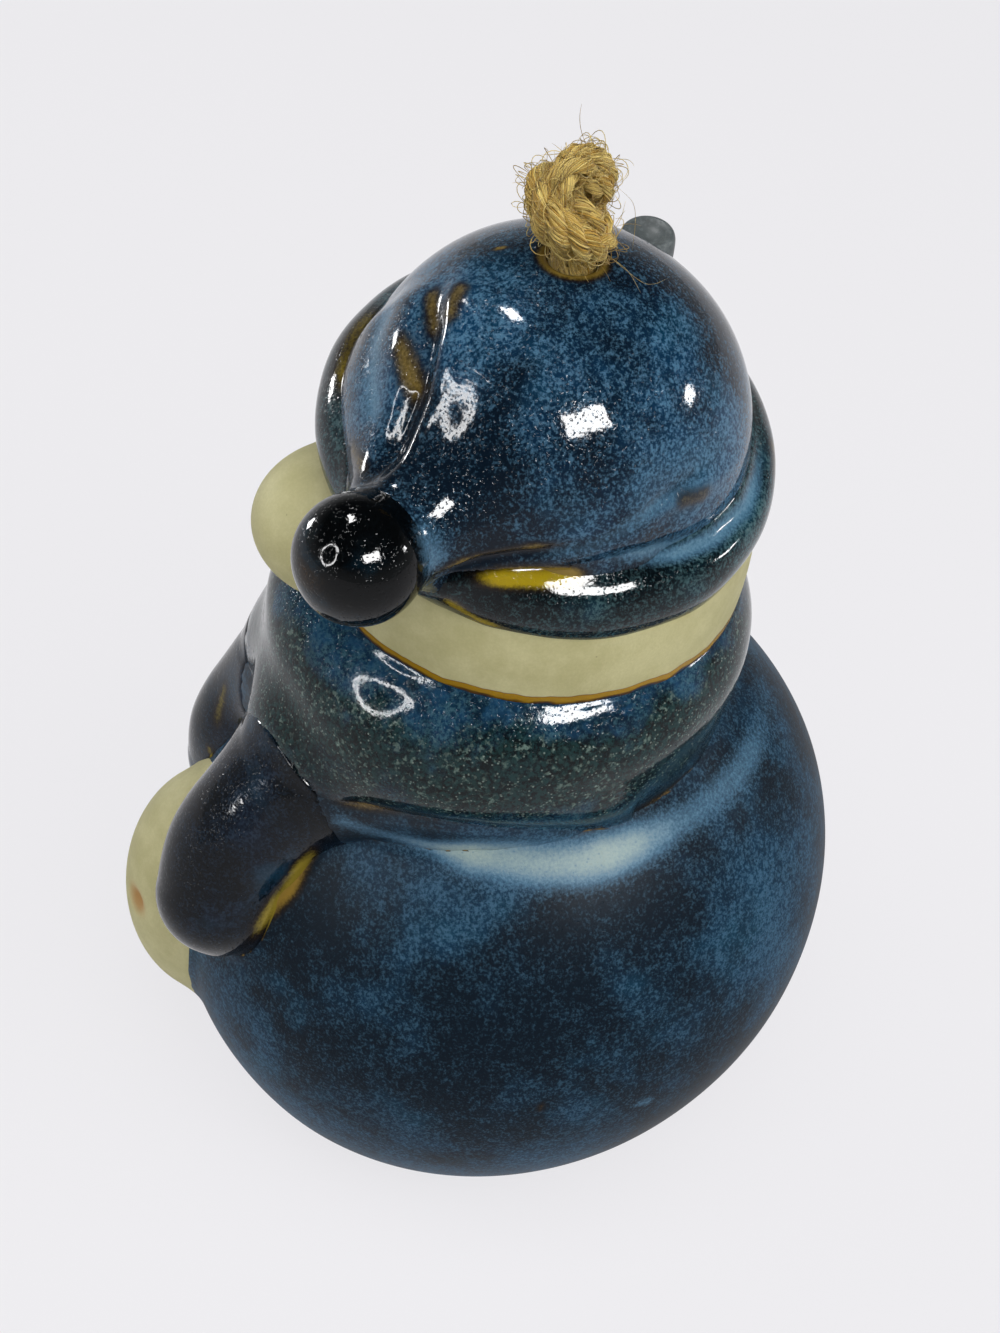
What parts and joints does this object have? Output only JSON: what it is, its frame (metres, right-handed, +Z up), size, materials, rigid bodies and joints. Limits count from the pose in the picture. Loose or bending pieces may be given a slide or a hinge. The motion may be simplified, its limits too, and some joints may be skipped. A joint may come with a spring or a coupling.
{
  "type": "snowman bell ornament",
  "caption": "Glazed stoneware bell in the form of a snowman with a rolled-brim hat and scarf collar, with a swinging clapper on a knotted jute cord.",
  "frame": {"origin": "centre of the object's box on the plane of the bell's mouth, so the bell stands on z = 0", "axes": "+Z up along the axis of the head, hat and cord, -Y the way the snowman faces, +X the snowman's own left"},
  "size_m": [0.0854, 0.0927, 0.1407],
  "materials": {
    "floating_blue_glaze": "glossy floating-blue glaze, speckled",
    "dark_blue_glaze": "glossy, nearly black where the glaze is thick",
    "green_blue_glaze": "glossy, with pale crystals",
    "bare_clay": "unglazed, matt",
    "iron_brown": "iron oxide wash",
    "jute": "twisted natural fibre"
  },
  "bodies": {
    "bell": {"bell_body": "floating_blue_glaze", "belly": "bare_clay", "scarf_collar": "green_blue_glaze", "head": "bare_clay", "nose": "bare_clay", "left_eye": "iron_brown", "right_eye": "iron_brown", "hat_crown": "floating_blue_glaze", "hat_brim": "dark_blue_glaze", "hat_tail": "floating_blue_glaze", "hat_stub": "dark_blue_glaze", "pom_pom": "dark_blue_glaze", "left_sleeve": "dark_blue_glaze", "right_sleeve": "dark_blue_glaze"},
    "cord": {"top_knot": "jute", "hanging_loop": "jute", "stop_knot": "jute"},
    "clapper": {"clapper_cord": "jute", "clapper": "bare_clay", "end_knot": "jute"}
  },
  "joints": [
    {"name": "cord_twist", "type": "hinge", "parent": "bell", "child": "cord", "pos_m": [0, 0.00205, 0.128], "axis": [0, 0, 1], "range_deg": [-180, 180]},
    {"name": "clapper_swing", "type": "hinge", "parent": "cord", "child": "clapper", "pos_m": [0, 0.00205, 0.1199], "axis": [1, 0, 0], "range_deg": [-15, 15]}
  ]
}
